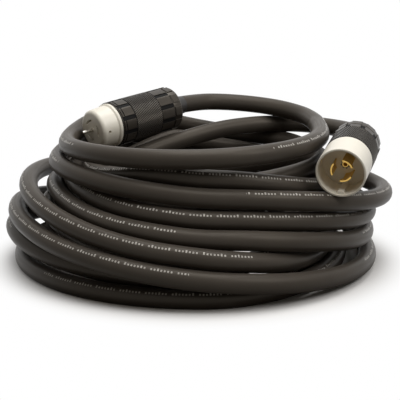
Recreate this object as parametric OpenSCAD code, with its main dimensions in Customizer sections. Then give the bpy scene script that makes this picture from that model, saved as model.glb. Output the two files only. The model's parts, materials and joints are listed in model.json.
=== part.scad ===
// Shore power cord: a heavy cord coiled in a loose pile, with a locking
// connector on one end and a shrouded locking plug on the other.
// Origin: middle of the pile on the floor. +Z is up, -Y is the front.

/* [Cord] */
// Diameter of the cord over its jacket
cord_d = 26.4; // [25.6:0.2:27.2]
// Diameter of one insulated wire inside the cord
wire_d = 6.8; // [6:0.2:7]

/* [Housings] */
// Diameter of both housings over their grip pads
body_d = 68; // [67:0.5:70]
// Length of the connector's shell without its gland ring
connector_grip_l = 99; // [94:1:104]
// Length of the plug's shell without its gland ring
plug_grip_l = 58; // [54:1:62]
// Length of each gland ring
ring_l = 16; // [15:0.5:18]
// Number of ribs in each knurled band
ribs = 72; // [60:2:80]
// Depth of the ribs and of the notches between the pads
rib_depth = 0.8; // [0.5:0.1:1]
// Gap between pieces that fit together
fit = 0.1; // [0.05:0.01:0.15]

/* [Connector nose] */
// Length of the nose in front of its shell
nose_l = 33; // [32:1:38]
// Diameter of the nose at its face
nose_d = 58; // [57:0.5:59]
// Diameter of the ground pin
pin_d = 5.2; // [4.8:0.1:5.6]
// Length of the ground pin beyond the face
pin_l = 17; // [14:1:20]

/* [Plug shroud] */
// Length of the shroud in front of its shell
shroud_l = 49; // [48:1:54]
// Depth of the recess that holds the blades
recess_l = 36; // [34:1:37]
// Wall of the shroud
shroud_wall = 2.6; // [2.4:0.1:3]

/* [Contacts] */
// Radius of the middle of the blades
blade_r = 14.2; // [14:0.1:14.4]
// Thickness of each blade
blade_t = 2; // [1.8:0.1:2.2]
// Arc of each blade, in degrees
blade_arc = 56; // [50:1:58]
// Length of each blade above the recess floor
blade_l = 28; // [24:1:30]

/* [Hidden] */

$fn = 64;
cord_r = cord_d / 2;
body_r = body_d / 2;
base_r = body_r - rib_depth;
k = cord_d / 26.4;

// The whole pile moves by this much, so that the origin is in its middle.
pile_shift = [2, -0.5, 0];

// Turns of the pile from the bottom up: reach to the left, front, right and
// back, then the height of the cord's centre at the same four places.
turns = [
    [[128, 145, 178, 135], [118, 134, 146, 100]],
    [[150, 147, 138, 172], [92, 70, 66, 40]],
    [[260, 236, 202, 226], [12, 10, 18, 10]],
    [[272, 204, 165, 199], [52, 13, 10, 13]],
    [[266, 255, 246, 256], [80, 41, 14, 72]],
    [[249, 242, 184, 216], [118, 52, 34, 42]],
    [[220, 206, 166, 198], [84, 38, 61, 56]],
    [[210, 220, 242, 224], [114, 74, 46, 76]],
    [[186, 200, 245, 190], [114, 98, 63, 88]],
    [[206, 193, 268, 165], [136, 120, 100, 106]],
    [[158, 174, 208, 189], [134, 140, 113, 122]],
    [[191, 187, 174, 202], [169, 182, 187, 196]]
];
towards = [[-1, 0], [0, -1], [1, 0], [0, 1]];
steps = 24;
quarter = steps / 4;
half = steps / 2;
first_resting = 2 * steps - quarter;
coil_start = quarter;
coil_end = 11 * steps + half;
turn_pitch = 1.055 * cord_d;
sag = 8 * k;
sag_reach = 5;
floor_z = 0.4 * cord_d;

// Where the two housings lie: their face, heading, rise, and turn about their axis.
connector_at = k * [-157.6, 10, 151.7] + [0, 0, body_r] + pile_shift;
connector_heading = 40.9;
connector_rise = 7;
connector_turn = -30;
plug_at = k * [182.9, -166, 125.5] + [0, 0, body_r] + pile_shift;
plug_heading = 71.8;
plug_rise = 8.8;
plug_turn = 30;

// Points of the free stretches, between the coil and each housing.
connector_lead_points = [
    [14, 158, 206], [68, 162, 203], [120, 141, 199], [158, 100, 194], [173, 54, 190]
];
plug_lead_points = [
    [-54, -138, 130], [-80, -123, 126], [-101, -100, 122], [-116, -72, 120],
    [-123, -40, 122], [-121, -4, 130], [-103, 31, 139], [-71, 58, 148],
    [-20, 84, 160], [32, 112, 169], [84, 138, 172], [130, 150, 172],
    [172, 142, 172], [207, 114, 172], [230, 74, 173], [236, 36, 174]
];

// Stations along each housing, measured from its face.
flange_t = 4;
hub_l = 12;
nose_flange_l = 12;
connector_flange = nose_l + nose_flange_l;
plug_flange = shroud_l;
connector_end = nose_l + connector_grip_l;
plug_end = shroud_l + plug_grip_l;
spigot_l = 6;
jaw_l = 12;
washer_t = 4;
jaw_back = 7;
jacket_back = jaw_back + jaw_l + 1;
ring_wall = 4;

// Radii shared by the housings.
bore_r = body_r - 4;
step_r = bore_r - 1;
spigot_r = body_r - 2.6;
cord_hole_r = cord_r + 0.6;
screw_r = 1.6;
head_r = 2.4;
head_t = 2.5;
head_room = 0.3;
screw_reach = 10;
hub_hole_r = step_r - 2 * (head_r + head_room);
hub_r = hub_hole_r - 0.3;
screw_ring = (hub_hole_r + step_r) / 2;
screw_angles = [30, 150, 270];
terminal_angles = [60, 180, 300, 0];
line_angles = [60, 180, 300];
copper_r = 2.1;
copper_ring = blade_r + blade_t / 2 + copper_r + 0.1;
plate_t = 1.2;
plate_w = 5;
grub_r = 1.9;
grub_l = 2.2;
tab_arc = 30;
strap_w = 8.2;
strap_t = 2;
rivet_r = 4;
socket_r = 4.2;
shoulder_r = 3.6;
shoulder_z = nose_l - 8;
shroud_r = body_r - 0.5;
recess_r = shroud_r - shroud_wall;

// ---- the pile of turns

function station(i) = min(i, 4 * len(turns) - 1);
function reach(i) = k * turns[floor(i / 4)][0][i % 4];
function height(i) = k * turns[floor(station(i) / 4)][1][station(i) % 4];
function between(a, b, c, d, u) =
    (2 * b + (c - a) * u + (2 * a - 5 * b + 4 * c - d) * u * u + (3 * b - a - 3 * c + d) * u * u * u) / 2;
function drawn_point(i) =
    let (s = floor(i / quarter), u = i / quarter - s,
        p = reach(s) * cos(90 * u) * towards[s % 4] + reach(s + 1) * sin(90 * u) * towards[(s + 1) % 4],
        z = between(height(max(s - 1, 0)), height(s), height(s + 1), height(s + 2), u))
    [p[0], p[1], max(z, floor_z)];
drawn_count = quarter * (4 * len(turns) - 1);
drawn = [for (i = [0 : drawn_count - 1]) drawn_point(i)];
function flat(p) = [p[0], p[1]];

// Height at which a strand over p clears the strand from a to b below it.
function clear_height(p, a, b) =
    let (w = flat(b) - flat(a), t = min(1, max(0, (p - flat(a)) * w / (w * w))),
        away = norm(p - flat(a) - t * w))
    away < turn_pitch ? a[2] + (b[2] - a[2]) * t + sqrt(turn_pitch * turn_pitch - away * away) : 0;
function lifted(i, z) = [drawn[i][0], drawn[i][1], z[i]];
function held(i, z) =
    max(concat([drawn[i][2]], [
        for (under = [i - steps : -steps : first_resting], s = [-3 : 2])
            if (under + s >= first_resting)
                clear_height(flat(drawn[i]), lifted(under + s, z), lifted(under + s + 1, z))
    ]));
// Each turn rests on the ones below it and bends gently over them.
function settle(z, from) =
    from >= drawn_count ? z :
    let (
        near = [for (j = [from - sag_reach - 1 : from + half + sag_reach])
            held(min(max(j, first_resting), drawn_count - 1), z)],
        over = [for (m = [0 : half + 1]) max([for (o = [-sag_reach : sag_reach])
            near[m + sag_reach + o] - sag * o * o])],
        next = [for (m = [1 : half])
            max(near[m + sag_reach], (over[m - 1] + 2 * over[m] + over[m + 1]) / 4)])
    settle(concat(z, next), from + half);
heights = settle([for (i = [0 : first_resting - 1]) drawn[i][2]], first_resting);
pile = [for (i = [coil_start : coil_end]) lifted(i, heights)];
coil_in = pile[0] - [cord_d, 0, 2 * k];
coil_out = pile[len(pile) - 1] + [0, cord_d, k];
coil_points = [for (p = concat([coil_in], pile, [coil_out])) p + pile_shift];

// ---- sweeps

function unit(v) = v / norm(v);
function along(heading, rise) =
    [cos(rise) * cos(heading), cos(rise) * sin(heading), sin(rise)];
function ring(p, t, r, sides, above) =
    let (side = unit(cross(t, above)), up = cross(side, t))
    [for (i = [0 : sides - 1])
        let (a = 360 * i / sides - 90) p + r * (cos(a) * side + sin(a) * up)];
module sweep(points, start_t, end_t, r, sides, above = [0, 0, 1]) {
    n = len(points);
    rings = [for (i = [0 : n - 1])
        ring(points[i], i == 0 ? start_t : i == n - 1 ? end_t : unit(points[i + 1] - points[i - 1]),
            r, sides, above)];
    polyhedron(
        points = [for (one = rings) for (q = one) q],
        faces = concat(
            [[for (i = [sides - 1 : -1 : 0]) i]],
            [for (j = [0 : n - 2], i = [0 : sides - 1])
                let (a = j * sides + i, b = j * sides + (i + 1) % sides)
                each [[a, b, a + sides], [b, b + sides, a + sides]]],
            [[for (i = [0 : sides - 1]) (n - 1) * sides + i]]
        )
    );
}
function route_length(p) =
    len(p) < 2 ? 0 : let (d = [for (i = [1 : len(p) - 1]) norm(p[i] - p[i - 1])]) d * [for (x = d) 1];
function strand_gap(p, a, b) =
    let (w = b - a, t = min(1, max(0, (p - a) * w / (w * w)))) norm(p - a - t * w) - cord_d;
function least_gap(p) =
    min([for (i = [steps : len(p) - 1], under = [i - steps : -steps : 3], s = [-3 : 2])
        if (under + s >= 0) strand_gap(p[i], p[under + s], p[under + s + 1])]);

connector_axis = along(connector_heading, connector_rise);
plug_axis = along(plug_heading, plug_rise);
connector_rear = connector_at + (connector_end + ring_l) * connector_axis;
plug_rear = plug_at + (plug_end + ring_l) * plug_axis;
connector_route = concat(
    [connector_rear, connector_rear + cord_d * connector_axis],
    [for (p = connector_lead_points) k * p + pile_shift],
    [coil_points[len(coil_points) - 1]]);
plug_route = concat(
    [coil_points[0]],
    [for (p = plug_lead_points) k * p + pile_shift],
    [plug_rear + cord_d * plug_axis, plug_rear]);
echo(least_gap_between_turns = least_gap(coil_points));
echo(lengths = [route_length(coil_points), route_length(connector_route), route_length(plug_route)]);

// The lowest turns are pressed flat where they lie on the floor.
module cord_coil() {
    spread = 2 * max([for (turn = turns) max(turn[0])]) * k;
    color("#1d1e20") difference() {
        sweep(coil_points, [1, 0, 0], [0, 1, 0], cord_r, 6);
        translate([-spread, -spread, -cord_d]) cube([2 * spread, 2 * spread, cord_d]);
    }
}
module connector_lead() {
    color("#1d1e20") sweep(connector_route, connector_axis, [0, -1, 0], cord_r, 10);
}
module plug_lead() {
    color("#1d1e20") sweep(plug_route, [-1, 0, 0], -plug_axis, cord_r, 10);
}

// ---- shared pieces of the two housings, each along its own +Z

module on_connector() {
    translate(connector_at) rotate([0, 90 - connector_rise, connector_heading])
        rotate([0, 0, connector_turn]) children();
}
module on_plug() {
    translate(plug_at) rotate([0, 90 - plug_rise, plug_heading])
        rotate([0, 0, plug_turn]) children();
}
module band(inner, outer, z0, z1, arc = 360) {
    rotate([0, 0, arc == 360 ? 0 : -arc / 2]) rotate_extrude(angle = arc)
        translate([inner, z0]) square([outer - inner, z1 - z0]);
}
module rod(r, z0, z1) {
    translate([0, 0, z0]) cylinder(r = r, h = z1 - z0);
}
function arc_points(c, r, a0, a1, n) =
    [for (i = [0 : n]) c + r * [cos(a0 + (a1 - a0) * i / n), sin(a0 + (a1 - a0) * i / n)]];
// Grip pads around a housing. Each is a little flatter than the housing itself.
pad_count = 10;
pad_arc = 25;
pad_phase = 9;
pad_crown = body_r - 0.4;
module pads(z0, z1) {
    half_arc = pad_arc / 2;
    for (i = [0 : pad_count - 1]) rotate([0, 0, pad_phase + 360 * i / pad_count])
        translate([0, 0, z0]) linear_extrude(z1 - z0) polygon(concat(
            [(base_r - 2) * [cos(half_arc), -sin(half_arc)]],
            [for (u = [-1 : 0.5 : 1])
                (body_r + (pad_crown - body_r) * (1 - u * u)) * [cos(u * half_arc), sin(u * half_arc)]],
            [(base_r - 2) * [cos(half_arc), sin(half_arc)]]));
}
module knurl(z0, z1) {
    pitch = 360 / ribs;
    translate([0, 0, z0]) linear_extrude(z1 - z0)
        polygon([for (i = [0 : ribs - 1], c = [[0, base_r], [0.15, body_r], [0.5, body_r], [0.65, base_r]])
            c[1] * [cos(pitch * (i + c[0])), sin(pitch * (i + c[0]))]]);
}
// Outer shape of a shell: lip, padded bands, knurled band, padded band, spigot.
lip = 1.5;
groove = 1;
narrow_row = 3.5;
connector_front_band = 25;
connector_rear_band = 25;
plug_rear_band = 12;
module shell_outside(z0, front_band, rear_band, end) {
    narrow_end = z0 + lip + groove + narrow_row;
    rod(base_r, z0, end);
    band(base_r - 1, body_r - 0.3, z0, z0 + lip);
    if (front_band > 0) {
        pads(z0 + lip + groove, narrow_end);
        pads(narrow_end + groove, z0 + front_band);
    }
    knurl(z0 + max(front_band, lip) + groove, end - rear_band - groove);
    pads(end - rear_band, end - groove);
    rod(spigot_r, end - 1, end + spigot_l);
}
module shell(z0, flange, front_band, rear_band, end) {
    difference() {
        shell_outside(z0, front_band, rear_band, end);
        if (z0 < flange) rod(bore_r, z0 - 1, flange);
        rod(hub_hole_r, flange - 1, flange + flange_t + 1);
        rod(step_r, flange + flange_t, end);
        rod(bore_r, end - jaw_back - jaw_l, end + spigot_l + 1);
        for (a = screw_angles) rotate([0, 0, a]) translate([screw_ring, 0, 0])
            rod(screw_r + fit, flange - 1, flange + flange_t + 1);
    }
}
module gland_ring(end) {
    back = end + ring_l;
    difference() {
        union() {
            rotate_extrude() polygon(concat(
                [[0, end], [base_r, end]],
                arc_points([base_r - 3, back - 3], 3, 0, 90, 5),
                [[0, back]]));
            pads(end + groove, back - 4);
        }
        rod(spigot_r + fit, end - 1, end + spigot_l + fit);
        rod(bore_r, end, back - ring_wall);
        rod(cord_hole_r, end, back + 1);
    }
}
module grommet(end) {
    difference() {
        rod(bore_r - fit, end - jaw_back + washer_t, end + ring_l - ring_wall);
        rod(cord_r + fit, end - jaw_back, end + ring_l);
    }
}
module slip_washer(end) {
    difference() {
        rod(bore_r - fit, end - jaw_back, end - jaw_back + washer_t);
        rod(cord_hole_r, end - jaw_back - 1, end);
    }
}
clamp_r = 1.8;
clamp_head_r = 3.2;
clamp_head_t = 2.4;
clamp_tip_x = -12;
clamp_y = (cord_r + bore_r) / 2 - 1.5;
clamp_head_x = sqrt(pow(bore_r - 1, 2) - pow(clamp_y + clamp_head_r, 2)) - clamp_head_t;
module clamp_holes(end) {
    middle = end - jaw_back - jaw_l / 2;
    for (y = [-clamp_y, clamp_y]) translate([0, y, middle]) rotate([0, 90, 0]) {
        rod(clamp_r + fit, clamp_tip_x - fit, body_r);
        rod(clamp_head_r + fit, clamp_head_x, body_r);
    }
}
module jaw(end, side) {
    z0 = end - jaw_back - jaw_l;
    difference() {
        rod(bore_r - fit, z0, z0 + jaw_l);
        rod(cord_r + fit, z0 - 1, z0 + jaw_l + 1);
        translate([side > 0 ? -body_d : -0.3, -body_r, z0 - 1]) cube([body_d + 0.3, body_d, jaw_l + 2]);
        clamp_holes(end);
    }
}
module driver_slot(z) {
    translate([-body_r / 2, -0.4, z]) cube([body_r, 0.8, 2]);
}
module clamp_screws(end) {
    for (y = [-clamp_y, clamp_y]) translate([0, y, end - jaw_back - jaw_l / 2]) rotate([0, 90, 0])
        difference() {
            union() {
                rod(clamp_r, clamp_tip_x, clamp_head_x + 1);
                rod(clamp_head_r, clamp_head_x, clamp_head_x + clamp_head_t);
            }
            driver_slot(clamp_head_x + 1.4);
        }
}
module assembly_screws(flange) {
    for (a = screw_angles) rotate([0, 0, a]) translate([screw_ring, 0, 0])
        difference() {
            union() {
                rod(screw_r, flange - screw_reach, flange + flange_t + 1);
                rod(head_r, flange + flange_t, flange + flange_t + head_t);
            }
            driver_slot(flange + flange_t + 1.5);
        }
}
module assembly_holes(flange) {
    for (a = screw_angles) rotate([0, 0, a]) translate([screw_ring, 0, 0])
        rod(screw_r + fit, flange - screw_reach - fit, flange + 1);
}
plate_in = copper_ring + copper_r + 0.1;
plate_out = plate_in + plate_t;
plate_drop = 7;
grub_drop = 4;
function hub_end(flange) = flange + hub_l;
// Space in a hub for one terminal: wire, plate, screw and the contact's tab.
module terminal_space(flange, line) {
    top = hub_end(flange);
    translate([copper_ring, 0, 0]) rod(copper_r + fit, flange + 2, top + 1);
    translate([plate_in - fit, -plate_w / 2 - fit, top - plate_drop - fit])
        cube([plate_t + 2 * fit, plate_w + 2 * fit, plate_drop + 1]);
    translate([0, 0, top - grub_drop]) rotate([0, 90, 0]) rod(grub_r + fit, plate_in, hub_r + 1);
    if (line)
        band(blade_r - blade_t / 2 - fit, blade_r + blade_t / 2 + fit, flange - 20, top + 1, tab_arc + 1);
}
module terminal_spaces(flange) {
    for (a = line_angles) rotate([0, 0, a]) terminal_space(flange, true);
    terminal_space(flange, false);
    translate([-rivet_r - fit, -strap_w / 2 - fit, flange - strap_t])
        cube([blade_r + blade_t / 2 + rivet_r + 2 * fit, strap_w + 2 * fit, hub_l + strap_t + 1]);
}
module terminal_screws(flange) {
    for (a = terminal_angles) rotate([0, 0, a]) translate([0, 0, hub_end(flange) - grub_drop]) rotate([0, 90, 0])
        difference() {
            rod(grub_r, plate_out, plate_out + grub_l);
            driver_slot(plate_out + grub_l - 1);
        }
}
module pressure_plates(flange) {
    for (a = terminal_angles) rotate([0, 0, a])
        translate([plate_in, -plate_w / 2, hub_end(flange) - plate_drop]) cube([plate_t, plate_w, plate_drop - 1]);
}
module ground_strap(flange) {
    leg_in = blade_r - blade_t / 2;
    difference() {
        union() {
            translate([-rivet_r, -strap_w / 2, flange - strap_t])
                cube([leg_in + blade_t + rivet_r, strap_w, strap_t]);
            translate([leg_in, -strap_w / 2, flange - strap_t])
                cube([blade_t, strap_w, hub_l + strap_t - 1]);
        }
        rod(pin_d / 2 + fit, flange - strap_t - 1, flange + 1);
    }
}
// One wire from the end of the jacket to its terminal, with its bare end.
wire_ring = 6.5;
function polar(r, a, z) = [r * cos(a), r * sin(a), z];
function bezier(a, b, c, d, u) =
    pow(1 - u, 3) * a + 3 * u * pow(1 - u, 2) * b + 3 * u * u * (1 - u) * c + u * u * u * d;
module wire(end, flange, from, to) {
    start = end - jacket_back;
    top = hub_end(flange);
    pull = [0, 0, 0.55 * (start - top)];
    a = polar(wire_ring, from, start);
    b = polar(copper_ring, to, top);
    path = [for (u = [0 : 7]) bezier(a, a - pull, b + pull, b, u / 7)];
    sweep(path, [0, 0, -1], [0, 0, -1], wire_d / 2, 8, polar(1, to + 90, 0));
    translate(polar(copper_ring, to, 0)) rod(copper_r, flange + 3, top + 1);
}
module cord_end(end) {
    rod(cord_r, end - jacket_back, end + ring_l);
}

module connector_cord_end() { color("#1d1e20") on_connector() cord_end(connector_end); }
module plug_cord_end() { color("#1d1e20") on_plug() cord_end(plug_end); }
module connector_wire(from, to) { on_connector() wire(connector_end, connector_flange, from, to); }
module plug_wire(from, to) { on_plug() wire(plug_end, plug_flange, from, to); }
module connector_black_wire() { color("#202020") connector_wire(80, 60); }
module connector_red_wire() { color("firebrick") connector_wire(180, 180); }
module connector_white_wire() { color("white") connector_wire(280, 300); }
module connector_green_wire() { color("seagreen") connector_wire(0, 0); }
module plug_black_wire() { color("#202020") plug_wire(80, 60); }
module plug_red_wire() { color("firebrick") plug_wire(180, 180); }
module plug_white_wire() { color("white") plug_wire(280, 300); }
module plug_green_wire() { color("seagreen") plug_wire(0, 0); }

// ---- connector

slot_arc = blade_arc + 8;
slot_half = blade_t / 2 + 0.4;
pocket_half = slot_half + 0.8;
leaf_t = 0.9;
pocket_z = 9;
leaf_top = nose_l - 2;
shank_r = pin_d / 2 + 0.5;
key_arc = 16;
key_h = 4.5;
nose_edge = 6;
base_ring_l = 4;
side_hole = [303, 11];
module connector_nose() {
    nose_r = nose_d / 2;
    swell_r = nose_r + 1.2;
    ring_r = body_r - 1.6;
    rim = connector_flange - 4;
    key_r = recess_r - key_h - 2;
    color("whitesmoke") on_connector() difference() {
        rotate_extrude() polygon(concat(
            [[0, 0]],
            arc_points([nose_r - nose_edge, nose_edge], nose_edge, -90, 0, 7),
            [[swell_r, nose_l - base_ring_l - 2], [ring_r, nose_l - base_ring_l], [ring_r, nose_l],
                [bore_r - fit, nose_l], [bore_r - fit, rim], [0, rim]]));
        for (a = line_angles) rotate([0, 0, a]) {
            band(blade_r - slot_half, blade_r + slot_half, -1, pocket_z + 1, slot_arc);
            band(blade_r - pocket_half, blade_r + pocket_half, pocket_z, rim + 1, slot_arc);
        }
        rotate([0, 0, -connector_turn]) band(key_r, body_r, -1, nose_l - base_ring_l - 3, key_arc + 3);
        rod(shank_r + fit, -1, rim + 1);
        rod(shoulder_r + fit, shoulder_z, rim + 1);
        assembly_holes(connector_flange);
        rotate([0, 0, side_hole[0]]) translate([0, 0, side_hole[1]]) rotate([0, 90, 0])
            rod(2, blade_r + pocket_half + 2, body_r);
    }
}
module ground_pin() {
    pin_r = pin_d / 2;
    color("silver") on_connector() {
        rotate_extrude() polygon([[0, -pin_l], [pin_r - 1, -pin_l], [pin_r, -pin_l + 2.5],
            [pin_r, 0.5], [shank_r, 0.5], [shank_r, shoulder_z], [shoulder_r, shoulder_z],
            [shoulder_r, connector_flange - strap_t], [pin_r, connector_flange - strap_t],
            [pin_r, connector_flange], [rivet_r, connector_flange], [rivet_r, connector_flange + 1.5],
            [0, connector_flange + 1.5]]);
    }
}
module connector_ground_strap() { color("goldenrod") on_connector() ground_strap(connector_flange); }
module connector_contact(a) {
    outer = blade_r + pocket_half - fit;
    inner = blade_r - pocket_half + fit;
    color("goldenrod") on_connector() rotate([0, 0, a]) {
        band(inner, inner + leaf_t, pocket_z + 1, leaf_top, blade_arc - 6);
        band(outer - leaf_t, outer, pocket_z + 1, leaf_top, blade_arc - 6);
        band(inner, outer, leaf_top - 2, leaf_top, blade_arc - 6);
        band(blade_r - blade_t / 2, blade_r + blade_t / 2, leaf_top - 1, hub_end(connector_flange) - 1, tab_arc);
    }
}
module connector_contact_black() { connector_contact(line_angles[0]); }
module connector_contact_red() { connector_contact(line_angles[1]); }
module connector_contact_white() { connector_contact(line_angles[2]); }
module connector_carrier() {
    rim = connector_flange - 4;
    color("#2a2a2c") on_connector() difference() {
        union() {
            rod(bore_r - fit, rim, connector_flange);
            rod(hub_r, rim, hub_end(connector_flange));
        }
        terminal_spaces(connector_flange);
        rod(shoulder_r + fit, rim - 1, connector_flange);
        assembly_holes(connector_flange);
    }
}
module connector_terminal_screws() { color("silver") on_connector() terminal_screws(connector_flange); }
module connector_pressure_plates() { color("goldenrod") on_connector() pressure_plates(connector_flange); }
module connector_assembly_screws() { color("silver") on_connector() assembly_screws(connector_flange); }
module connector_shell() {
    color("#1b1b1d") on_connector()
        shell(nose_l, connector_flange, connector_front_band, connector_rear_band, connector_end);
}
module connector_jaw_left() { color("#303032") on_connector() jaw(connector_end, -1); }
module connector_jaw_right() { color("#303032") on_connector() jaw(connector_end, 1); }
module connector_clamp_screws() { color("silver") on_connector() clamp_screws(connector_end); }
module connector_slip_washer() { color("#d8d4c8") on_connector() slip_washer(connector_end); }
module connector_grommet() { color("#262626") on_connector() grommet(connector_end); }
module connector_gland_ring() { color("#1b1b1d") on_connector() gland_ring(connector_end); }

// ---- plug

module plug_shroud() {
    color("whitesmoke") on_plug() union() {
        difference() {
            rotate_extrude() polygon(concat(
                [[0, 0]],
                arc_points([shroud_r - 1.2, 1.2], 1.2, -90, 0, 4),
                [[shroud_r, shroud_l], [0, shroud_l]]));
            rod(recess_r, -1, shroud_l - flange_t);
            rod(hub_hole_r, 0, shroud_l + 1);
            for (a = screw_angles) rotate([0, 0, a]) translate([screw_ring, 0, 0])
                rod(screw_r + fit, shroud_l - flange_t - 1, shroud_l + 1);
        }
        rotate([0, 0, -plug_turn]) band(recess_r - key_h, recess_r + 1, 2, recess_l - fit, key_arc);
    }
}
module plug_base() {
    color("#cfc6b0") on_plug() difference() {
        union() {
            rod(recess_r - fit, recess_l, plug_flange - flange_t);
            rod(hub_r, recess_l, hub_end(plug_flange));
        }
        terminal_spaces(plug_flange);
        rod(socket_r + fit, recess_l - 1, plug_flange - strap_t + 1);
        assembly_holes(plug_flange);
    }
}
hook_arc = 12;
hook_l = 6;
module plug_blade(a) {
    inner = blade_r - blade_t / 2;
    outer = blade_r + blade_t / 2;
    tip = recess_l - blade_l;
    back = hub_end(plug_flange) - 1;
    beside_tab = (blade_arc - tab_arc) / 2 + 1;
    color("goldenrod") on_plug() rotate([0, 0, a]) difference() {
        rotate([0, 0, hook_arc / 2]) band(inner, outer, tip, back, blade_arc + hook_arc);
        rotate([0, 0, blade_arc / 2 + hook_arc]) band(inner - 1, outer + 1, tip + hook_l, back + 1, 2 * hook_arc);
        for (side = [-1, 1]) rotate([0, 0, side * (tab_arc + beside_tab) / 2])
            band(inner - 2, outer + 2, recess_l, back + 2, beside_tab);
    }
}
module plug_blade_black() { plug_blade(line_angles[0]); }
module plug_blade_red() { plug_blade(line_angles[1]); }
module plug_blade_white() { plug_blade(line_angles[2]); }
module plug_ground_socket() {
    color("goldenrod") on_plug() difference() {
        rotate_extrude() polygon([[0, recess_l - 2], [socket_r, recess_l - 2],
            [socket_r, plug_flange - strap_t], [pin_d / 2, plug_flange - strap_t],
            [pin_d / 2, plug_flange], [rivet_r, plug_flange], [rivet_r, plug_flange + 1.5],
            [0, plug_flange + 1.5]]);
        rod(pin_d / 2 + 2 * fit, recess_l - 3, plug_flange - strap_t - 1);
    }
}
module plug_ground_strap() { color("goldenrod") on_plug() ground_strap(plug_flange); }
module plug_terminal_screws() { color("silver") on_plug() terminal_screws(plug_flange); }
module plug_pressure_plates() { color("goldenrod") on_plug() pressure_plates(plug_flange); }
module plug_assembly_screws() { color("silver") on_plug() assembly_screws(plug_flange); }
module plug_shell() { color("#1b1b1d") on_plug() shell(shroud_l, plug_flange, 0, plug_rear_band, plug_end); }
module plug_jaw_left() { color("#303032") on_plug() jaw(plug_end, -1); }
module plug_jaw_right() { color("#303032") on_plug() jaw(plug_end, 1); }
module plug_clamp_screws() { color("silver") on_plug() clamp_screws(plug_end); }
module plug_slip_washer() { color("#d8d4c8") on_plug() slip_washer(plug_end); }
module plug_grommet() { color("#262626") on_plug() grommet(plug_end); }
module plug_gland_ring() { color("#1b1b1d") on_plug() gland_ring(plug_end); }

cord_coil();
connector_lead();
plug_lead();
connector_cord_end();
plug_cord_end();
connector_black_wire();
connector_red_wire();
connector_white_wire();
connector_green_wire();
plug_black_wire();
plug_red_wire();
plug_white_wire();
plug_green_wire();
connector_nose();
ground_pin();
connector_ground_strap();
connector_contact_black();
connector_contact_red();
connector_contact_white();
connector_carrier();
connector_terminal_screws();
connector_pressure_plates();
connector_assembly_screws();
connector_shell();
connector_jaw_left();
connector_jaw_right();
connector_clamp_screws();
connector_slip_washer();
connector_grommet();
connector_gland_ring();
plug_shroud();
plug_base();
plug_blade_black();
plug_blade_red();
plug_blade_white();
plug_ground_socket();
plug_ground_strap();
plug_terminal_screws();
plug_pressure_plates();
plug_assembly_screws();
plug_shell();
plug_jaw_left();
plug_jaw_right();
plug_clamp_screws();
plug_slip_washer();
plug_grommet();
plug_gland_ring();
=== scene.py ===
"""Shore power cord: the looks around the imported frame. Lengths are in millimetres until they reach a mesh."""
import json
import math

import bmesh
import bpy
from mathutils import Matrix, Vector


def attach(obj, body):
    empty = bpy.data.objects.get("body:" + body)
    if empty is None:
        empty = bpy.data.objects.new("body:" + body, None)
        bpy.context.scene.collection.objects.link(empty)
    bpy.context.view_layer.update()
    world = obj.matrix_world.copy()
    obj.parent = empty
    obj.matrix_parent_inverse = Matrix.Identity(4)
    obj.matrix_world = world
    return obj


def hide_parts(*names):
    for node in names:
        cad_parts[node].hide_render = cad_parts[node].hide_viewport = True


MM = 0.001
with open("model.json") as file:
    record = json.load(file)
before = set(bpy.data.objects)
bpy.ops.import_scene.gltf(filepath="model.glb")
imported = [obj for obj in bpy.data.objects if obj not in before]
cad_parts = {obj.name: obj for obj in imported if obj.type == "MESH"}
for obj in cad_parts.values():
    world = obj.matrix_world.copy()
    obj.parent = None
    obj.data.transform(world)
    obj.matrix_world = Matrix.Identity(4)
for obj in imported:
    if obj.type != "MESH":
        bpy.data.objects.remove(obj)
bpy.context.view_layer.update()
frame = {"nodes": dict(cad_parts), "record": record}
nodes = frame["nodes"]

# ---------------------------------------------------------------- sizes of the pile, as in the part's source

CORD_D = 26.4
BODY_R = 34.0

# The turns, both leads and both housings are drawn round a middle that is moved by this to the frame's own.
PILE_SHIFT = Vector((2, -0.5, 0))

# For each turn, from the cord's inner end: how far it reaches to the left, front, right and back, and how
# high it is drawn there.
TURNS = [
    ((128, 145, 178, 135), (118, 134, 146, 100)),
    ((150, 147, 138, 172), (92, 70, 66, 40)),
    ((260, 236, 202, 226), (12, 10, 18, 10)),
    ((272, 204, 165, 199), (52, 13, 10, 13)),
    ((266, 255, 246, 256), (80, 41, 14, 72)),
    ((249, 242, 184, 216), (118, 52, 34, 42)),
    ((220, 206, 166, 198), (84, 38, 61, 56)),
    ((210, 220, 242, 224), (114, 74, 46, 76)),
    ((186, 200, 245, 190), (114, 98, 63, 88)),
    ((206, 193, 268, 165), (136, 120, 100, 106)),
    ((158, 174, 208, 189), (134, 140, 113, 122)),
    ((191, 187, 174, 202), (169, 182, 187, 196)),
]
TOWARDS = [Vector((-1, 0)), Vector((0, -1)), Vector((1, 0)), Vector((0, 1))]

# Steps round one turn, the first step that may rest on other turns, and the coil's first and last step.
STEPS = 24
QUARTER = STEPS // 4
HALF = STEPS // 2
FIRST_RESTING = 2 * STEPS - QUARTER
COIL_START = QUARTER
COIL_END = 11 * STEPS + HALF

# The middles of two turns that touch are one pitch apart. A strand that is held up at one step may sag by
# SAG times the square of the steps from there. On the floor the cord is pressed flat until its middle is
# at FLOOR_Z.
TURN_PITCH = 1.055 * CORD_D
SAG = 8
SAG_REACH = 5
FLOOR_Z = 0.4 * CORD_D

# A step is measured against this many steps before and after it on each turn below.
STEPS_NEAR = 3

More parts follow.
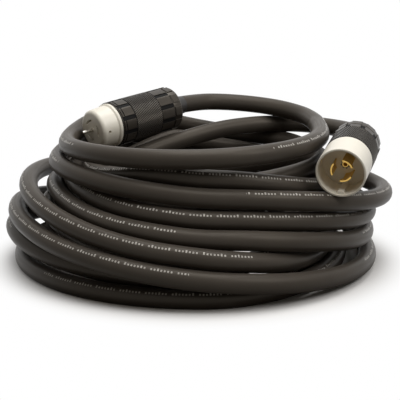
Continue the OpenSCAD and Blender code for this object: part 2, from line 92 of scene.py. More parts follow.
# The free stretches, from the connector to the top turn and from the inner turn to the plug.
CONNECTOR_LEAD = [(14, 158, 206), (68, 162, 203), (120, 141, 199), (158, 100, 194), (173, 54, 190)]
PLUG_LEAD = [
    (-54, -138, 130), (-80, -123, 126), (-101, -100, 122), (-116, -72, 120),
    (-123, -40, 122), (-121, -4, 130), (-103, 31, 139), (-71, 58, 148),
    (-20, 84, 160), (32, 112, 169), (84, 138, 172), (130, 150, 172),
    (172, 142, 172), (207, 114, 172), (230, 74, 173), (236, 36, 174),
]


def along(heading, rise):
    """Unit vector at a heading from +X towards +Y, and a rise from level, in degrees."""
    h, r = math.radians(heading), math.radians(rise)
    return Vector((math.cos(r) * math.cos(h), math.cos(r) * math.sin(h), math.sin(r)))


class Housing:
    """Where a housing lies, and the stations of its shell and its back, measured from its face."""

    def __init__(self, face, heading, rise, turn, shell, back):
        self.face = Vector(face) + Vector((0, 0, BODY_R)) + PILE_SHIFT
        self.axis = along(heading, rise)
        self.shell_front, self.shell_end = shell
        self.back = back
        self.rear = self.face + back * self.axis
        to_heading = Matrix.Rotation(math.radians(heading), 4, "Z")
        lean = to_heading @ Matrix.Rotation(math.radians(90 - rise), 4, "Y")
        self.place = Matrix.Translation(self.face) @ lean @ Matrix.Rotation(math.radians(turn), 4, "Z")


CONNECTOR = Housing(face=(-157.6, 10, 151.7), heading=40.9, rise=7, turn=-30, shell=(33, 132), back=148)
PLUG = Housing(face=(182.9, -166, 125.5), heading=71.8, rise=8.8, turn=30, shell=(49, 107), back=123)

# ---------------------------------------------------------------- the cord's route


def reach(i):
    """How far the pile reaches at quarter turn i."""
    return TURNS[i // 4][0][i % 4]


def height(i):
    """How high the cord is at quarter turn i."""
    i = min(max(i, 0), 4 * len(TURNS) - 1)
    return TURNS[i // 4][1][i % 4]


def between(a, b, c, d, u):
    """A smooth way from b at 0 to c at 1, where a comes before them and d after them."""
    return (2 * b + (c - a) * u + (2 * a - 5 * b + 4 * c - d) * u * u + (3 * b - a - 3 * c + d) * u ** 3) / 2


def drawn_point(i):
    """Step i of the pile from above, and its height before it rests on other turns."""
    s, u = i // QUARTER, (i % QUARTER) / QUARTER
    angle = math.pi / 2 * u
    p = reach(s) * math.cos(angle) * TOWARDS[s % 4] + reach(s + 1) * math.sin(angle) * TOWARDS[(s + 1) % 4]
    z = between(height(s - 1), height(s), height(s + 1), height(s + 2), u)
    return p, max(z, FLOOR_Z)


def pile_points():
    """Steps of the pile from its inner end, each lifted over the turns that it rests on."""
    count = QUARTER * (4 * len(TURNS) - 1)
    flat, drawn = zip(*[drawn_point(i) for i in range(count)])
    z = list(drawn[:FIRST_RESTING])

    def held(i):
        """The height of step i when it lies on the finished turns under it."""
        best = drawn[i]
        for under in range(i - STEPS, FIRST_RESTING - 1, -STEPS):
            for j in range(under - STEPS_NEAR, under + STEPS_NEAR):
                if j < FIRST_RESTING:
                    continue
                w = flat[j + 1] - flat[j]
                t = min(1, max(0, (flat[i] - flat[j]).dot(w) / w.dot(w)))
                away = (flat[i] - flat[j] - t * w).length
                if away < TURN_PITCH:
                    best = max(best, z[j] + (z[j + 1] - z[j]) * t + math.sqrt(TURN_PITCH ** 2 - away ** 2))
        return best

    while len(z) < count:
        start = len(z)
        near = [held(min(max(j, FIRST_RESTING), count - 1))
                for j in range(start - SAG_REACH - 1, start + HALF + SAG_REACH + 1)]
        over = [max(near[m + SAG_REACH + o] - SAG * o * o for o in range(-SAG_REACH, SAG_REACH + 1))
                for m in range(HALF + 2)]
        z += [max(near[m + SAG_REACH], (over[m - 1] + 2 * over[m] + over[m + 1]) / 4)
              for m in range(1, HALF + 1)]
    return [Vector((*flat[i], z[i])) for i in range(COIL_START, COIL_END + 1)]


def smooth_line(points, parts):
    """Points along a smooth curve through the given ones."""
    line = []
    last = len(points) - 1
    for i in range(last):
        a, b, c, d = (points[min(max(i + o, 0), last)] for o in (-1, 0, 1, 2))
        line += [between(a, b, c, d, j / parts) for j in range(parts)]
    return line + [points[last]]


def cord_route():
    """The whole cord, from the connector's rear to the plug's."""
    pile = pile_points()
    # Both ends of the coil run on for one width of the cord.
    inner_end = pile[0] - Vector((CORD_D, 0, 2))
    outer_end = pile[-1] + Vector((0, CORD_D, 1))
    coil = [p + PILE_SHIFT for p in [outer_end] + pile[::-1] + [inner_end]]
    return (
        [CONNECTOR.rear, CONNECTOR.rear + CORD_D * CONNECTOR.axis]
        + [Vector(p) + PILE_SHIFT for p in CONNECTOR_LEAD]
        + coil
        + [Vector(p) + PILE_SHIFT for p in PLUG_LEAD]
        + [PLUG.rear + CORD_D * PLUG.axis, PLUG.rear]
    )


# ---------------------------------------------------------------- materials

# Most of a noise lies between these two values.
NOISE_LOW = 0.3
NOISE_HIGH = 0.7

# Mould grain is a tenth as deep as it is wide.
GRAIN_DEPTH = 0.1

# Handling leaves a moulded surface a little lighter and duller in patches about 55 mm wide.
CLOUD_MM = 55

# The die draws fine lines along the jacket. Real ones are about 0.1 mm wide and too fine to show, so they
# are drawn as thirty soft bands round it, each 40 mm long.
DRAW_MM = 40
DRAW_LINES = 30
DRAW_DEPTH_MM = 0.08

# The printed row: its place and its wander, in parts of a turn round the jacket. Real print has strokes of
# about 0.3 mm, too fine to show, so each mark is a plain bar, half a step wide. Every fifth one is tall,
# every eighth is left out, and a longer gap parts the groups.
MARK_TURN = 0.08
WANDER_TURN = 0.12
WANDER_M = 1.7
MARK_MM = 2.6
MARK_STEP_MM = 4.2
BAR_START = 0.2
BAR_SHARE = 0.5
TALL_EVERY = 5
WORD_MARKS = 8
WORD_SHARE = 0.875
GROUP_M = 0.83
GROUP_SHARE = 0.65

# Wear takes ink off in spots of this size. INK_LEAST of it stays, and up to INK_RANGE more.
WORN_MM = 2.5
INK_LEAST = 0.15
INK_RANGE = 0.9


def linear(hex_colour):
    """sRGB hex to linear red, green, blue and alpha."""
    parts = [int(hex_colour[i:i + 2], 16) / 255 for i in (1, 3, 5)]
    return tuple(c / 12.92 if c <= 0.04045 else ((c + 0.055) / 1.055) ** 2.4 for c in parts) + (1.0,)


def add(tree, kind, inputs=None, **settings):
    """Adds a node. inputs holds values, or what is linked in: a socket, or a node for its first output."""
    node = tree.nodes.new(kind)
    for name, value in settings.items():
        setattr(node, name, value)
    for name, value in (inputs or {}).items():
        if isinstance(value, bpy.types.Node):
            value = value.outputs[0]
        if isinstance(value, bpy.types.NodeSocket):
            tree.links.new(value, node.inputs[name])
        else:
            node.inputs[name].default_value = value
    return node


def material(name):
    """An empty material with its output node."""
    mat = bpy.data.materials.new(name)
    mat.use_nodes = True
    mat.node_tree.nodes.clear()
    return mat, mat.node_tree, mat.node_tree.nodes.new("ShaderNodeOutputMaterial")


def moulded(name, colour, darker, roughness, grain_mm, bump, metallic=0.0, spread=0.06, **shine):
    """A surface with uneven colour, uneven gloss and a fine grain."""
    mat, tree, out = material(name)
    where = add(tree, "ShaderNodeTexCoord").outputs["Object"]
    cloud = add(tree, "ShaderNodeTexNoise", {"Vector": where, "Scale": 1 / (CLOUD_MM * MM), "Detail": 4.0})
    grain = add(tree, "ShaderNodeTexNoise", {"Vector": where, "Scale": 1 / (grain_mm * MM), "Detail": 3.0})
    tint = add(tree, "ShaderNodeMix", {"Factor": cloud.outputs["Fac"], 6: linear(darker), 7: linear(colour)},
               data_type="RGBA")
    gloss = add(tree, "ShaderNodeMapRange", {
        "Value": cloud.outputs["Fac"], "From Min": NOISE_LOW, "From Max": NOISE_HIGH,
        "To Min": roughness - spread, "To Max": roughness + spread})
    skin = add(tree, "ShaderNodeBump", {"Height": grain.outputs["Fac"], "Strength": bump,
                                        "Distance": GRAIN_DEPTH * grain_mm * MM})
    shader = add(tree, "ShaderNodeBsdfPrincipled", {
        "Base Color": tint.outputs[2], "Roughness": gloss.outputs["Result"], "Metallic": metallic,
        "Normal": skin.outputs["Normal"], **shine})
    tree.links.new(shader.outputs[0], out.inputs["Surface"])
    return mat


def jacket_with_marks():
    """Extruded neoprene, drawn lengthwise, with a printed row of plain length marks along one side."""
    mat, tree, out = material("extruded_neoprene_jacket")
    where = add(tree, "ShaderNodeTexCoord").outputs["Object"]
    place = add(tree, "ShaderNodeSeparateXYZ", {"Vector": add(tree, "ShaderNodeTexCoord").outputs["UV"]})
    along_m, round_turn = place.outputs["X"], place.outputs["Y"]

    def every(length_m):
        """How far a point is through its own repeat of a length along the cord, from 0 to 1."""
        repeats = add(tree, "ShaderNodeMath", {0: along_m, 1: length_m}, operation="DIVIDE")
        return add(tree, "ShaderNodeMath", {0: repeats}, operation="FRACT")

    def within(value, low, high):
        """1 between low and high, and 0 elsewhere."""
        above = add(tree, "ShaderNodeMath", {0: value, 1: low}, operation="GREATER_THAN")
        below = add(tree, "ShaderNodeMath", {0: value, 1: high}, operation="LESS_THAN")
        return add(tree, "ShaderNodeMath", {0: above, 1: below}, operation="MULTIPLY")

    drawn_uv = add(tree, "ShaderNodeCombineXYZ", {
        "X": add(tree, "ShaderNodeMath", {0: along_m, 1: 1 / (DRAW_MM * MM)}, operation="MULTIPLY"),
        "Y": add(tree, "ShaderNodeMath", {0: round_turn, 1: DRAW_LINES}, operation="MULTIPLY")})
    drawn = add(tree, "ShaderNodeTexNoise", {"Vector": drawn_uv, "Scale": 1.0, "Detail": 2.0})

    wander = add(tree, "ShaderNodeTexNoise", {
        "Vector": add(tree, "ShaderNodeCombineXYZ", {"X": along_m}), "Scale": 1 / WANDER_M})
    middle = add(tree, "ShaderNodeMath", {
        0: wander.outputs["Fac"], 1: WANDER_TURN, 2: MARK_TURN - WANDER_TURN / 2}, operation="MULTIPLY_ADD")
    aside = add(tree, "ShaderNodeMath", {0: round_turn, 1: middle}, operation="SUBTRACT")
    across = add(tree, "ShaderNodeMath", {0: aside, 1: math.pi * CORD_D}, operation="MULTIPLY")

    step_m = MARK_STEP_MM * MM
    short = within(across, -MARK_MM / 2, MARK_MM / 2)
    tall = add(tree, "ShaderNodeMath", {
        0: within(across, -MARK_MM / 2, MARK_MM), 1: within(every(TALL_EVERY * step_m), -1, 1 / TALL_EVERY)},
        operation="MULTIPLY")
    ink = add(tree, "ShaderNodeMath", {0: short, 1: tall}, operation="MAXIMUM")
    worn = add(tree, "ShaderNodeTexNoise", {"Vector": where, "Scale": 1 / (WORN_MM * MM), "Detail": 2.0})
    for share in (
        within(every(step_m), BAR_START, BAR_START + BAR_SHARE),
        within(every(WORD_MARKS * step_m), -1, WORD_SHARE),
        within(every(GROUP_M), -1, GROUP_SHARE),
        add(tree, "ShaderNodeMath", {0: worn.outputs["Fac"], 1: INK_RANGE, 2: INK_LEAST},
            operation="MULTIPLY_ADD"),
    ):
        ink = add(tree, "ShaderNodeMath", {0: ink, 1: share}, operation="MULTIPLY")

    cloud = add(tree, "ShaderNodeTexNoise", {"Vector": where, "Scale": 1 / (CLOUD_MM * MM), "Detail": 4.0})
    rubber = add(tree, "ShaderNodeMix", {
        "Factor": cloud.outputs["Fac"], 6: linear("#3c3732"), 7: linear("#4a443d")}, data_type="RGBA")
    tint = add(tree, "ShaderNodeMix", {"Factor": ink, 6: rubber.outputs[2], 7: linear("#d8d4cc")},
               data_type="RGBA")
    gloss = add(tree, "ShaderNodeMapRange", {
        "Value": drawn.outputs["Fac"], "From Min": NOISE_LOW, "From Max": NOISE_HIGH,
        "To Min": 0.33, "To Max": 0.43})
    skin = add(tree, "ShaderNodeBump", {"Height": drawn.outputs["Fac"], "Strength": 0.2,
                                        "Distance": DRAW_DEPTH_MM * MM})
    shader = add(tree, "ShaderNodeBsdfPrincipled", {
        "Base Color": tint.outputs[2], "Roughness": gloss.outputs["Result"], "Normal": skin.outputs["Normal"],
        "Specular IOR Level": 0.16, "Specular Tint": linear("#f8eedd")})
    tree.links.new(shader.outputs[0], out.inputs["Surface"])
    return mat


# Extruded neoprene: black that weathers to a warm charcoal, with a broad satin sheen along each strand
# and an off-white printed row.
JACKET = jacket_with_marks()

# Mould grain is really about 0.1 mm wide and too fine to show. The finishes below draw it at 0.3 to 0.6
# mm, so that it softens their highlights.

# Moulded neoprene is duller and blacker than the jacket, with no clear highlight.
RUBBER = moulded("moulded_neoprene", "#282420", "#1b1815", 0.42, 0.6, 0.2)

# Nylon from a polished mould: a satin black whose edges catch narrow, slightly warm highlights.
HOUSING = moulded("satin_moulded_nylon_black", "#332e29", "#27231f", 0.3, 0.4, 0.1, spread=0.03,
                  **{"Specular IOR Level": 0.4, "Specular Tint": linear("#fbf0de")})

# Grooves that the mould's polish doesn't reach stay matt. Their near-black colour is painted shade, so that
# they read as dark lines between the ribs and pads.
PAINTED_GROOVE_SHADE = moulded("matt_grooves_painted_shade", "#0c0b0a", "#080706", 0.7, 0.4, 0.1, **{"Specular IOR Level": 0.15})

# Natural moulded nylon: a warm white with a soft, wide gloss.
WHITE = moulded("moulded_nylon_white", "#eee9dc", "#e7e0d0", 0.35, 0.5, 0.08)

# Phenolic pressed from powder: a mottled, dusty beige with little gloss.
BEIGE = moulded("phenolic_base_beige", "#d2c9b6", "#bfb59f", 0.45, 0.5, 0.15)

# Stamped and tumbled brass: a warm yellow metal with blurred reflections.
BRASS = moulded("stamped_brass", "#e0bd6c", "#c29a4c", 0.45, 0.3, 0.1, metallic=1.0)

# Bright nickel on a turned pin: a pale, slightly warm metal with fairly sharp reflections.
PLATED = moulded("nickel_plated_pin", "#cfcbc2", "#b9b4aa", 0.2, 0.3, 0.08, metallic=1.0)

# Zinc on steel: a neutral grey metal, a little cloudy.
STEEL = moulded("zinc_plated_steel", "#a9a9a6", "#92928f", 0.3, 0.3, 0.1, metallic=1.0)

# Acetal punched from sheet: a waxy, greyish white.
WASHER = moulded("acetal_washer", "#d8d4c8", "#cbc6b8", 0.4, 0.5, 0.1)

# Black moulded insulator: a soft black with a faintly cool cast.
DARK = moulded("moulded_insulator_black", "#26252a", "#1c1b1f", 0.45, 0.5, 0.15)

# Extruded vinyl insulation: clear, even colours with a smooth satin gloss.
WIRES = {
    "black_wire": moulded("wire_insulation_black", "#1c1c1c", "#151515", 0.35, 0.5, 0.1),
    "red_wire": moulded("wire_insulation_red", "#9c1d18", "#861813", 0.35, 0.5, 0.1),
    "white_wire": moulded("wire_insulation_white", "#e6e5e0", "#d9d7d0", 0.35, 0.5, 0.1),
    "green_wire": moulded("wire_insulation_green", "#1d7a3d", "#176733", 0.35, 0.5, 0.1),
}

# The finish of each material slot.
FINISHES = {
    "cord_jacket": RUBBER, "black_housing": HOUSING, "white_nylon": WHITE, "beige_insulator": BEIGE,
    "black_insulator": DARK, "brass_contact": BRASS, "plated_pin": PLATED, "steel_screw": STEEL,
    "grommet_rubber": RUBBER, "washer_nylon": WASHER, **WIRES,
}


def dress_nodes():
    """Each node of the frame gets the finish of its material slot."""
    slots = {part["node"]: part["material_slot"] for part in frame["record"]["subparts"]}
    for name, node in nodes.items():
        node.data.materials.clear()
        node.data.materials.append(FINISHES[slots[name]])


# ---------------------------------------------------------------- the cord

# Parts of the line from one point of the route to the next, and sides of the tube. Points of the tube's
# seam that are closer than SEAM_MM become one.
LINE_PARTS = 8
TUBE_SIDES = 20
SEAM_MM = 0.01


def make_cord():
    """One smooth tube through the whole route, pressed flat where it lies on the floor."""
    line = smooth_line(cord_route(), LINE_PARTS)
    curve = bpy.data.curves.new("cord_line", "CURVE")
    curve.dimensions = "3D"
    curve.bevel_depth = CORD_D / 2 * MM
    curve.bevel_resolution = TUBE_SIDES // 2 - 2
    curve.use_fill_caps = True
    curve.twist_mode = "Z_UP"
    spline = curve.splines.new("POLY")
    spline.points.add(len(line) - 1)
    for point, place in zip(spline.points, line):
        point.co = (*(place * MM), 1)
    drawn = bpy.data.objects.new("cord_line", curve)
    bpy.context.scene.collection.objects.link(drawn)
    tube = bpy.data.meshes.new_from_object(drawn.evaluated_get(bpy.context.evaluated_depsgraph_get()))
    bpy.data.objects.remove(drawn)

    # The map across the jacket holds metres along the cord and parts of a turn round it.
    run = [0.0]
    for a, b in zip(line, line[1:]):
        run.append(run[-1] + (b - a).length * MM)
    last = len(line) - 1
    bm = bmesh.new()
    bm.from_mesh(tube)
    for vert in bm.verts:
        vert.co.z = max(vert.co.z, 0.0)
    layer = bm.loops.layers.uv.verify()
    for face in bm.faces:
        face.smooth = True
        for loop in face.loops:
            u, v = loop[layer].uv
            loop[layer].uv = (run[min(round(u * last), last)], v)
    bmesh.ops.remove_doubles(bm, verts=bm.verts, dist=SEAM_MM * MM)
    bm.to_mesh(tube)
    bm.free()

    cord = bpy.data.objects.new("cord", tube)
    bpy.context.scene.collection.objects.link(cord)
    tube.materials.clear()
    tube.materials.append(JACKET)
    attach(cord, "root")
    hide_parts("cord_coil", "connector_lead", "plug_lead")


# ---------------------------------------------------------------- housings, made upright from their faces

# The body under the pads and ribs, the bore that the parts inside fill, and how deep pads and ribs are
# sunk in the body.
GROOVE_DEPTH = 1.4
BASE_R = BODY_R - GROOVE_DEPTH
BORE_R = BODY_R - 4
SUNK = 1

# Pads: their number round the housing, the degrees that one spans and the turn of the first, the rounding
# of their edges, how much flatter than the housing they are, the gap to what is next to them, and a short
# one's length.
PAD_COUNT = 10
PAD_ARC = 25
PAD_PHASE = 9
PAD_EDGE = 0.5
PAD_FLAT = 0.5
PAD_GAP = 1
SHORT_PAD_L = 3.5

# Ribs: their number, the degrees that a band leans from end to end, the rows that it is made in, how much
# lower a rib's shoulders are than its top, and the radii at parts of one rib's width.
RIBS = 72
KNURL_TWIST = -38
KNURL_ROWS = 24
RIB_ROUND = 0.35
RIB_OUTLINE = [(0.0, BASE_R), (0.2, BODY_R - RIB_ROUND), (0.5, BODY_R), (0.8, BODY_R - RIB_ROUND)]

# The lip at a shell's front: its length, its rounding, how far it lies under the pads, how far the
# rounding at its back starts before its end, and how far behind its end it meets the body.
LIP_L = 1.5
LIP_ROUND = 0.6
LIP_LOW = 0.3
LIP_BACK = 0.5
LIP_FALL = 0.2

# The gland ring: the seam to the shell, the roundings of both edges, its rear wall, and the cord's play.
RING_SEAM = 0.05
RING_EDGE = 0.4
RING_ROUND = 3
RING_WALL = 4
CORD_PLAY = 0.6

# Corners closer than this are one, and edges that turn more than this stay crisp.
SAME_MM = 0.001
SHARP_DEGREES = 32


def closed_line(bm, points):
    """The corners and edges of a closed line."""
    ring = [bm.verts.new(point) for point in points]
    return ring, [bm.edges.new(pair) for pair in zip(ring, ring[1:] + ring[:1])]


def whole_turn(bm, outline, steps=96):
    """Spins a closed outline of radii and stations once round the axis."""
    ring, edges = closed_line(bm, [(radius, 0, z) for radius, z in outline])
    bmesh.ops.spin(bm, geom=ring + edges, axis=(0, 0, 1), angle=2 * math.pi, steps=steps, use_merge=True)


def part_round(radius, z, size, first, last, parts):
    """Points from one direction to another round a corner whose centre is at a radius and station."""
    turns = [math.radians(first + (last - first) * i / parts) for i in range(parts + 1)]
    return [(radius + size * math.cos(t), z + size * math.sin(t)) for t in turns]


def turned(bm, geometry, degrees):
    """Turns geometry round the housing's axis."""
    verts = [g for g in geometry if isinstance(g, bmesh.types.BMVert)]
    bmesh.ops.rotate(bm, verts=verts, matrix=Matrix.Rotation(math.radians(degrees), 3, "Z"))


def pad_row(bm, z0, z1):
    """A row of grip pads with rounded edges, each a little flatter than the housing."""
    before = set(bm.verts)
    ring, edges = closed_line(bm, [
        (BASE_R - SUNK, 0, z0), (BODY_R - PAD_EDGE, 0, z0), (BODY_R, 0, z0 + PAD_EDGE),
        (BODY_R, 0, z1 - PAD_EDGE), (BODY_R - PAD_EDGE, 0, z1), (BASE_R - SUNK, 0, z1)])
    turned(bm, ring, -PAD_ARC / 2)
    bmesh.ops.spin(bm, geom=ring + edges, axis=(0, 0, 1), angle=math.radians(PAD_ARC), steps=6)
    ends = [e for e in bm.edges if e.is_boundary and e.verts[0] not in before]
    bmesh.ops.holes_fill(bm, edges=ends, sides=0)
    bmesh.ops.bevel(bm, geom=ends, offset=PAD_EDGE, offset_type="OFFSET", segments=2, profile=0.5,
                    affect="EDGES", material=-1)
    verts = [v for v in bm.verts if v not in before]
    for vert in verts:
        place = math.degrees(math.atan2(vert.co.y, vert.co.x)) / (PAD_ARC / 2)
        vert.co.xy *= 1 - PAD_FLAT * max(0.0, 1 - place * place) / BODY_R
    turned(bm, verts, PAD_PHASE)
    edges = [e for e in bm.edges if e.verts[0] not in before]
    faces = [f for f in bm.faces if f.verts[0] not in before]
    pad = verts + edges + faces
    for i in range(1, PAD_COUNT):
        copy = bmesh.ops.duplicate(bm, geom=pad)["geom"]
        turned(bm, copy, 360 * i / PAD_COUNT)


def knurl(bm, z0, z1):
    """A ring of fine round-topped ribs that lean round the housing."""
    points = []
    for i in range(RIBS):
        for share, radius in RIB_OUTLINE:
            turn = 2 * math.pi * (i + share) / RIBS
            points.append((radius * math.cos(turn), radius * math.sin(turn), z0))
    ring, _ = closed_line(bm, points)

    def pull(rim, z, degrees=0.0, radius=None):
        """Extrudes an open end to a station, and turns it or brings it to a radius."""
        ends = set(rim)
        edges = dict.fromkeys(e for v in rim for e in v.link_edges if e.other_vert(v) in ends)
        made = bmesh.ops.extrude_edge_only(bm, edges=list(edges))["geom"]
        new = [g for g in made if isinstance(g, bmesh.types.BMVert)]
        for vert in new:
            vert.co.z = z
            if radius:
                vert.co.xy *= radius / vert.co.xy.length
        turned(bm, new, degrees)
        return new

    back = ring
    for row in range(1, KNURL_ROWS + 1):
        back = pull(back, z0 + (z1 - z0) * row / KNURL_ROWS, degrees=KNURL_TWIST / KNURL_ROWS)
    inner_back = pull(back, z1, radius=BASE_R - SUNK)
    inner_front = pull(ring, z0, radius=BASE_R - SUNK)
    inner = {*inner_back, *inner_front}
    bmesh.ops.bridge_loops(bm, edges=[e for e in bm.edges if e.is_boundary and e.verts[0] in inner])


def housing_piece(name, bm, housing, finish, slot, *replaced, grooves=False):
    """Puts a finished mesh where its housing lies. The floors of its grooves may get their own matt finish,
    near-black with painted shade.
    """
    bmesh.ops.remove_doubles(bm, verts=bm.verts, dist=SAME_MM)
    bmesh.ops.recalc_face_normals(bm, faces=bm.faces)
    if grooves:
        # Faces low in the grooves and in the gaps between pads get the near-black finish, as painted shade.
        for face in bm.faces:
            face.material_index = int(face.calc_center_median().xy.length < BASE_R + GROOVE_DEPTH / 2)
    bm.transform(Matrix.Scale(MM, 4) @ housing.place)
    for face in bm.faces:
        face.smooth = True
    mesh = bpy.data.meshes.new(name)
    bm.to_mesh(mesh)
    bm.free()
    mesh.set_sharp_from_angle(angle=math.radians(SHARP_DEGREES))
    mesh.materials.append(finish)
    if grooves:
        mesh.materials.append(PAINTED_GROOVE_SHADE)
    piece = bpy.data.objects.new(name, mesh)
    bpy.context.scene.collection.objects.link(piece)
    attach(piece, "root")
    if replaced:
        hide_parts(*replaced)


def make_shell(name, housing, node, front_band, rear_band):
    """The black shell: a lip, padded bands at one or both ends, and a knurled band between them."""
    bm = bmesh.new()
    front, end = housing.shell_front, housing.shell_end
    lip = front + LIP_L
    corner = BODY_R - LIP_LOW - LIP_ROUND
    whole_turn(bm, [
        (BORE_R, front), *part_round(corner, front + LIP_ROUND, LIP_ROUND, -90, 0, 3),
        *part_round(corner, lip - LIP_BACK, LIP_ROUND, 0, 60, 3), (BASE_R, lip + LIP_FALL),
        (BASE_R, end), (BORE_R, end)])
    if front_band:
        short = lip + PAD_GAP
        pad_row(bm, short, short + SHORT_PAD_L)
        pad_row(bm, short + SHORT_PAD_L + PAD_GAP, front + front_band)
    knurl(bm, front + max(front_band, LIP_L) + PAD_GAP, end - rear_band - PAD_GAP)
    pad_row(bm, end - rear_band, end - PAD_GAP)
    housing_piece(name, bm, housing, HOUSING, "black_housing", node, grooves=True)


def make_gland_ring(name, housing, node):
    """The ring behind a shell, with its own short pads and a rounded rear edge."""
    bm = bmesh.new()
    front, back = housing.shell_end + RING_SEAM, housing.back
    hole = CORD_D / 2 + CORD_PLAY
    whole_turn(bm, [
        (BORE_R, front), *part_round(BASE_R - RING_EDGE, front + RING_EDGE, RING_EDGE, -90, 0, 3),
        *part_round(BASE_R - RING_ROUND, back - RING_ROUND, RING_ROUND, 0, 90, 6),
        (hole, back), (hole, back - RING_WALL), (BORE_R, back - RING_WALL)])
    pad_row(bm, housing.shell_end + PAD_GAP, back - RING_WALL)
    housing_piece(name, bm, housing, HOUSING, "black_housing", node)


# How tightly a sleeve grips the cord, and its outline: heights over its bore, and stations from the gland
# ring's back. It starts inside the ring.
SLEEVE_GRIP = 0.2
SLEEVE_OUTLINE = [
    (0, -4), (0.7, -4), (0.7, 0), (3.2, 0.1), *part_round(2, 2, 1.2, 0, 30, 3), (0.5, 24), (0, 24.4),
]


def make_strain_relief(name, housing):
    """A short tapered sleeve round the cord behind its gland."""
    bm = bmesh.new()
    bore = CORD_D / 2 - SLEEVE_GRIP
    whole_turn(bm, [(bore + up, housing.back + z) for up, z in SLEEVE_OUTLINE])
    housing_piece(name, bm, housing, RUBBER, "grommet_rubber")


# The collar stands on the floor of the recess, and its teeth are short studs on a ring of their own.
RECESS_L = 36
COLLAR_H = 1
COLLAR_SUNK = 0.2
COLLAR_BORE_R = 4.7
COLLAR_R = 5.6
TEETH = 8
TOOTH_R = 0.9
TEETH_RING_R = 6


def make_collar():
    """The dark toothed collar round the ground socket, on the floor of the plug's recess."""
    bm = bmesh.new()
    front, back = RECESS_L - COLLAR_H, RECESS_L + COLLAR_SUNK
    whole_turn(bm, [(COLLAR_BORE_R, front), (COLLAR_R, front), (COLLAR_R, back), (COLLAR_BORE_R, back)],
               steps=48)
    for i in range(TEETH):
        turn = Matrix.Rotation(2 * math.pi * i / TEETH, 4, "Z")
        place = turn @ Matrix.Translation((TEETH_RING_R, 0, (front + back) / 2))
        bmesh.ops.create_cone(bm, cap_ends=True, segments=12, radius1=TOOTH_R, radius2=TOOTH_R,
                              depth=back - front, matrix=place)
    housing_piece("ground_collar", bm, PLUG, DARK, "black_insulator")


def make_housings():
    """The grips, rings and strain reliefs of both housings, and the plug's collar."""
    make_shell("connector_grip", CONNECTOR, "connector_shell", front_band=25, rear_band=25)
    make_gland_ring("connector_ring", CONNECTOR, "connector_gland_ring")
    make_shell("plug_grip", PLUG, "plug_shell", front_band=0, rear_band=12)
    make_gland_ring("plug_ring", PLUG, "plug_gland_ring")
    make_strain_relief("connector_strain_relief", CONNECTOR)
    make_strain_relief("plug_strain_relief", PLUG)
    make_collar()


# ---------------------------------------------------------------- stage, light and camera

# The floor's radius, and the distances from its middle between which it grows white to the eye, in metres.
FLOOR_R = 6
GLOW_FROM = 0.25
GLOW_TO = 0.32
FULL_WHITE = (1, 1, 1, 1)

# The surround's strength as a source of light.
SURROUND_LIGHT = 0.15

# Each softbox: its name, its place, where it points and its width and length in metres, and its watts.
SOFTBOXES = [
    ("overhead_softbox", (0.05, -0.05, 1.5), (0.05, -0.05, 0.1), (1.0, 1.5), 19),
    ("right_softbox", (1.2, -0.8, 1.45), (0, 0, 0.1), (0.8, 0.8), 11.5),
]

# The camera's place and aim in millimetres, and its focal length and shift in pixels of the frame.
CAMERA_PLACE = Vector((0, -1450, 440))
CAMERA_AIM = Vector((0, 0, 85))
FOCAL_PX = 1010
SHIFT_PX = -1.5
FRAME_PX = 400
SENSOR_MM = 36


def seen_straight(tree):
    """1 for a ray from the camera, and for what metal and glass show of their surroundings."""
    path = add(tree, "ShaderNodeLightPath")
    both = add(tree, "ShaderNodeMath", {0: path.outputs["Is Camera Ray"], 1: path.outputs["Is Glossy Ray"]},
               operation="MAXIMUM")
    return add(tree, "ShaderNodeMath", {0: both, 1: path.outputs["Is Transmission Ray"]}, operation="MAXIMUM")


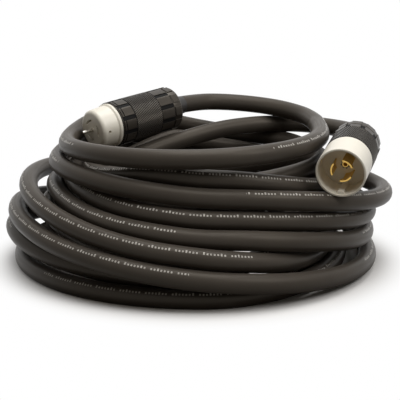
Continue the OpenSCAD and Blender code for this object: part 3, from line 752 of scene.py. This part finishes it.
def make_stage():
    """A pale floor that is nearly white to the camera and keeps the shadow."""
    mesh = bpy.data.meshes.new("studio_floor")
    bm = bmesh.new()
    bmesh.ops.create_circle(bm, cap_ends=True, segments=96, radius=FLOOR_R)
    bm.to_mesh(mesh)
    bm.free()
    floor = bpy.data.objects.new("studio_floor", mesh)
    bpy.context.scene.collection.objects.link(floor)

    # Matt paper: nearly white to the camera, and a middle grey as a light, so that undersides stay dark.
    mat, tree, out = material("studio_floor_paper")
    seen = add(tree, "ShaderNodeLightPath").outputs["Is Camera Ray"]
    grey = add(tree, "ShaderNodeMix", {"Factor": seen, 6: linear("#77736d"), 7: linear("#f1efec")},
               data_type="RGBA")
    paper = add(tree, "ShaderNodeBsdfDiffuse", {"Color": grey.outputs[2]})
    glow = add(tree, "ShaderNodeEmission", {"Color": FULL_WHITE, "Strength": 1.0})
    away = add(tree, "ShaderNodeVectorMath", {0: add(tree, "ShaderNodeTexCoord").outputs["Object"]},
               operation="LENGTH")
    spread = add(tree, "ShaderNodeMapRange", {
        "Value": away.outputs["Value"], "From Min": GLOW_FROM, "From Max": GLOW_TO,
        "To Min": 0.0, "To Max": 1.0}, interpolation_type="SMOOTHSTEP")
    most = add(tree, "ShaderNodeMath", {0: seen_straight(tree), 1: spread.outputs["Result"]},
               operation="MULTIPLY")
    mix = add(tree, "ShaderNodeMixShader", {"Fac": most, 1: paper, 2: glow})
    tree.links.new(mix.outputs[0], out.inputs["Surface"])
    mesh.materials.append(mat)


def make_world():
    """Even studio surround: white to the camera and in reflections, and a weak warm light."""
    world = bpy.data.worlds.new("studio_surround")
    bpy.context.scene.world = world
    world.use_nodes = True
    tree = world.node_tree
    tree.nodes.clear()
    soft = add(tree, "ShaderNodeBackground", {"Color": linear("#f0e7da"), "Strength": SURROUND_LIGHT})
    white = add(tree, "ShaderNodeBackground", {"Color": FULL_WHITE, "Strength": 1.0})
    mix = add(tree, "ShaderNodeMixShader", {"Fac": seen_straight(tree), 1: soft, 2: white})
    add(tree, "ShaderNodeOutputWorld", {"Surface": mix})


def make_lamp(name, place, aim, size, power):
    """A softbox that points at its aim."""
    lamp = bpy.data.lights.new(name, "AREA")
    lamp.shape = "RECTANGLE"
    lamp.size, lamp.size_y = size
    lamp.energy = power
    obj = bpy.data.objects.new(name, lamp)
    obj.location = place
    obj.rotation_euler = (Vector(aim) - Vector(place)).to_track_quat("-Z", "Y").to_euler()
    bpy.context.scene.collection.objects.link(obj)


def make_camera():
    """The camera, in front of the pile and a little above it."""
    camera = bpy.data.cameras.new("camera")
    camera.sensor_width = SENSOR_MM
    camera.lens = FOCAL_PX / FRAME_PX * SENSOR_MM
    camera.shift_y = SHIFT_PX / FRAME_PX
    camera.clip_start = 0.01
    obj = bpy.data.objects.new("camera", camera)
    obj.location = (CAMERA_PLACE + PILE_SHIFT) * MM
    obj.rotation_euler = (CAMERA_AIM - CAMERA_PLACE).to_track_quat("-Z", "Y").to_euler()
    bpy.context.scene.collection.objects.link(obj)
    bpy.context.scene.camera = obj


dress_nodes()
make_housings()
make_cord()
make_stage()
make_world()
for softbox in SOFTBOXES:
    make_lamp(*softbox)
make_camera()
bpy.context.scene.view_settings.view_transform = "Standard"
